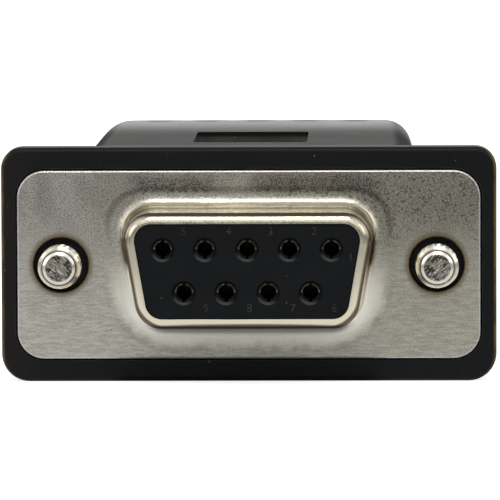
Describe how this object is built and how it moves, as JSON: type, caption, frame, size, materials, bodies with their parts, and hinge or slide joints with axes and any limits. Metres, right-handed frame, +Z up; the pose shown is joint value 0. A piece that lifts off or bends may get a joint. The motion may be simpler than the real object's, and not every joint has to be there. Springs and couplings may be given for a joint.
{
  "type": "d-sub terminal block adapter",
  "caption": "D-sub socket in a moulded hood with captive jackscrews, wired through a small board to a row of rising-cage screw terminals.",
  "frame": {"origin": "centre of the connector flange's front face, midway between the two jackscrews", "axes": "+Y back through the hood to the wire entries, +Z up on the side of the wide contact row and the screwdriver holes, +X right as the socket is faced"},
  "size_m": [0.033, 0.0501, 0.0156],
  "materials": {
    "hood_plastic": "fine moulded satin",
    "nickel_plate": "satin nickel, stained",
    "insulator_plastic": "fine moulded satin",
    "board_laminate": "lacquered",
    "block_plastic": "moulded",
    "contact_gold": "gold flashed",
    "tinned_strip": "tinned",
    "zinc_steel": "zinc plated",
    "nickel_screw": "bright nickel",
    "nylon": "plain"
  },
  "bodies": {
    "adapter": {"hood": "hood_plastic", "front_shell": "nickel_plate", "rear_shell": "nickel_plate", "front_insulator": "insulator_plastic", "rear_insulator": "insulator_plastic", "circuit_board": "board_laminate", "terminal_block": "block_plastic", "contact_1": "contact_gold", "contact_2": "contact_gold", "contact_3": "contact_gold", "contact_4": "contact_gold", "contact_5": "contact_gold", "contact_6": "contact_gold", "contact_7": "contact_gold", "contact_8": "contact_gold", "contact_9": "contact_gold", "terminal_tongue_1": "tinned_strip", "terminal_tongue_2": "tinned_strip", "terminal_tongue_3": "tinned_strip", "terminal_tongue_4": "tinned_strip", "terminal_tongue_5": "tinned_strip"},
    "screw_1": {"terminal_screw_1": "zinc_steel"},
    "clamp_1": {"clamp_cage_1": "zinc_steel"},
    "screw_2": {"terminal_screw_2": "zinc_steel"},
    "clamp_2": {"clamp_cage_2": "zinc_steel"},
    "screw_3": {"terminal_screw_3": "zinc_steel"},
    "clamp_3": {"clamp_cage_3": "zinc_steel"},
    "screw_4": {"terminal_screw_4": "zinc_steel"},
    "clamp_4": {"clamp_cage_4": "zinc_steel"},
    "screw_5": {"terminal_screw_5": "zinc_steel"},
    "clamp_5": {"clamp_cage_5": "zinc_steel"},
    "float_left": {"retaining_washer_left": "nylon"},
    "jack_left": {"jackscrew_left": "nickel_screw"},
    "float_right": {"retaining_washer_right": "nylon"},
    "jack_right": {"jackscrew_right": "nickel_screw"}
  },
  "joints": [
    {"name": "screw_1_turn", "type": "hinge", "parent": "adapter", "child": "screw_1", "pos_m": [-0.007, 0.0374, 0.0059], "axis": [0, 0, -1], "range_deg": [0, 1620]},
    {"name": "clamp_1_rise", "type": "slide", "parent": "adapter", "child": "clamp_1", "axis": [0, 0, 1], "range_m": [0, 0.0018]},
    {"name": "screw_2_turn", "type": "hinge", "parent": "adapter", "child": "screw_2", "pos_m": [-0.0035, 0.0374, 0.0059], "axis": [0, 0, -1], "range_deg": [0, 1620]},
    {"name": "clamp_2_rise", "type": "slide", "parent": "adapter", "child": "clamp_2", "axis": [0, 0, 1], "range_m": [0, 0.0018]},
    {"name": "screw_3_turn", "type": "hinge", "parent": "adapter", "child": "screw_3", "pos_m": [0, 0.0374, 0.0059], "axis": [0, 0, -1], "range_deg": [0, 1620]},
    {"name": "clamp_3_rise", "type": "slide", "parent": "adapter", "child": "clamp_3", "axis": [0, 0, 1], "range_m": [0, 0.0018]},
    {"name": "screw_4_turn", "type": "hinge", "parent": "adapter", "child": "screw_4", "pos_m": [0.0035, 0.0374, 0.0059], "axis": [0, 0, -1], "range_deg": [0, 1620]},
    {"name": "clamp_4_rise", "type": "slide", "parent": "adapter", "child": "clamp_4", "axis": [0, 0, 1], "range_m": [0, 0.0018]},
    {"name": "screw_5_turn", "type": "hinge", "parent": "adapter", "child": "screw_5", "pos_m": [0.007, 0.0374, 0.0059], "axis": [0, 0, -1], "range_deg": [0, 1620]},
    {"name": "clamp_5_rise", "type": "slide", "parent": "adapter", "child": "clamp_5", "axis": [0, 0, 1], "range_m": [0, 0.0018]},
    {"name": "jack_left_float", "type": "slide", "parent": "adapter", "child": "float_left", "axis": [0, 1, 0], "range_m": [0, 0.003]},
    {"name": "jack_left_turn", "type": "hinge", "parent": "float_left", "child": "jack_left", "pos_m": [-0.01249, 0, 0], "axis": [0, -1, 0], "continuous": true},
    {"name": "jack_right_float", "type": "slide", "parent": "adapter", "child": "float_right", "axis": [0, 1, 0], "range_m": [0, 0.003]},
    {"name": "jack_right_turn", "type": "hinge", "parent": "float_right", "child": "jack_right", "pos_m": [0.01249, 0, 0], "axis": [0, -1, 0], "continuous": true}
  ],
  "couplings": [
    {"joint": "screw_1_turn", "follows": "clamp_1_rise", "rad_per_m": 15708},
    {"joint": "screw_2_turn", "follows": "clamp_2_rise", "rad_per_m": 15708},
    {"joint": "screw_3_turn", "follows": "clamp_3_rise", "rad_per_m": 15708},
    {"joint": "screw_4_turn", "follows": "clamp_4_rise", "rad_per_m": 15708},
    {"joint": "screw_5_turn", "follows": "clamp_5_rise", "rad_per_m": 15708}
  ]
}
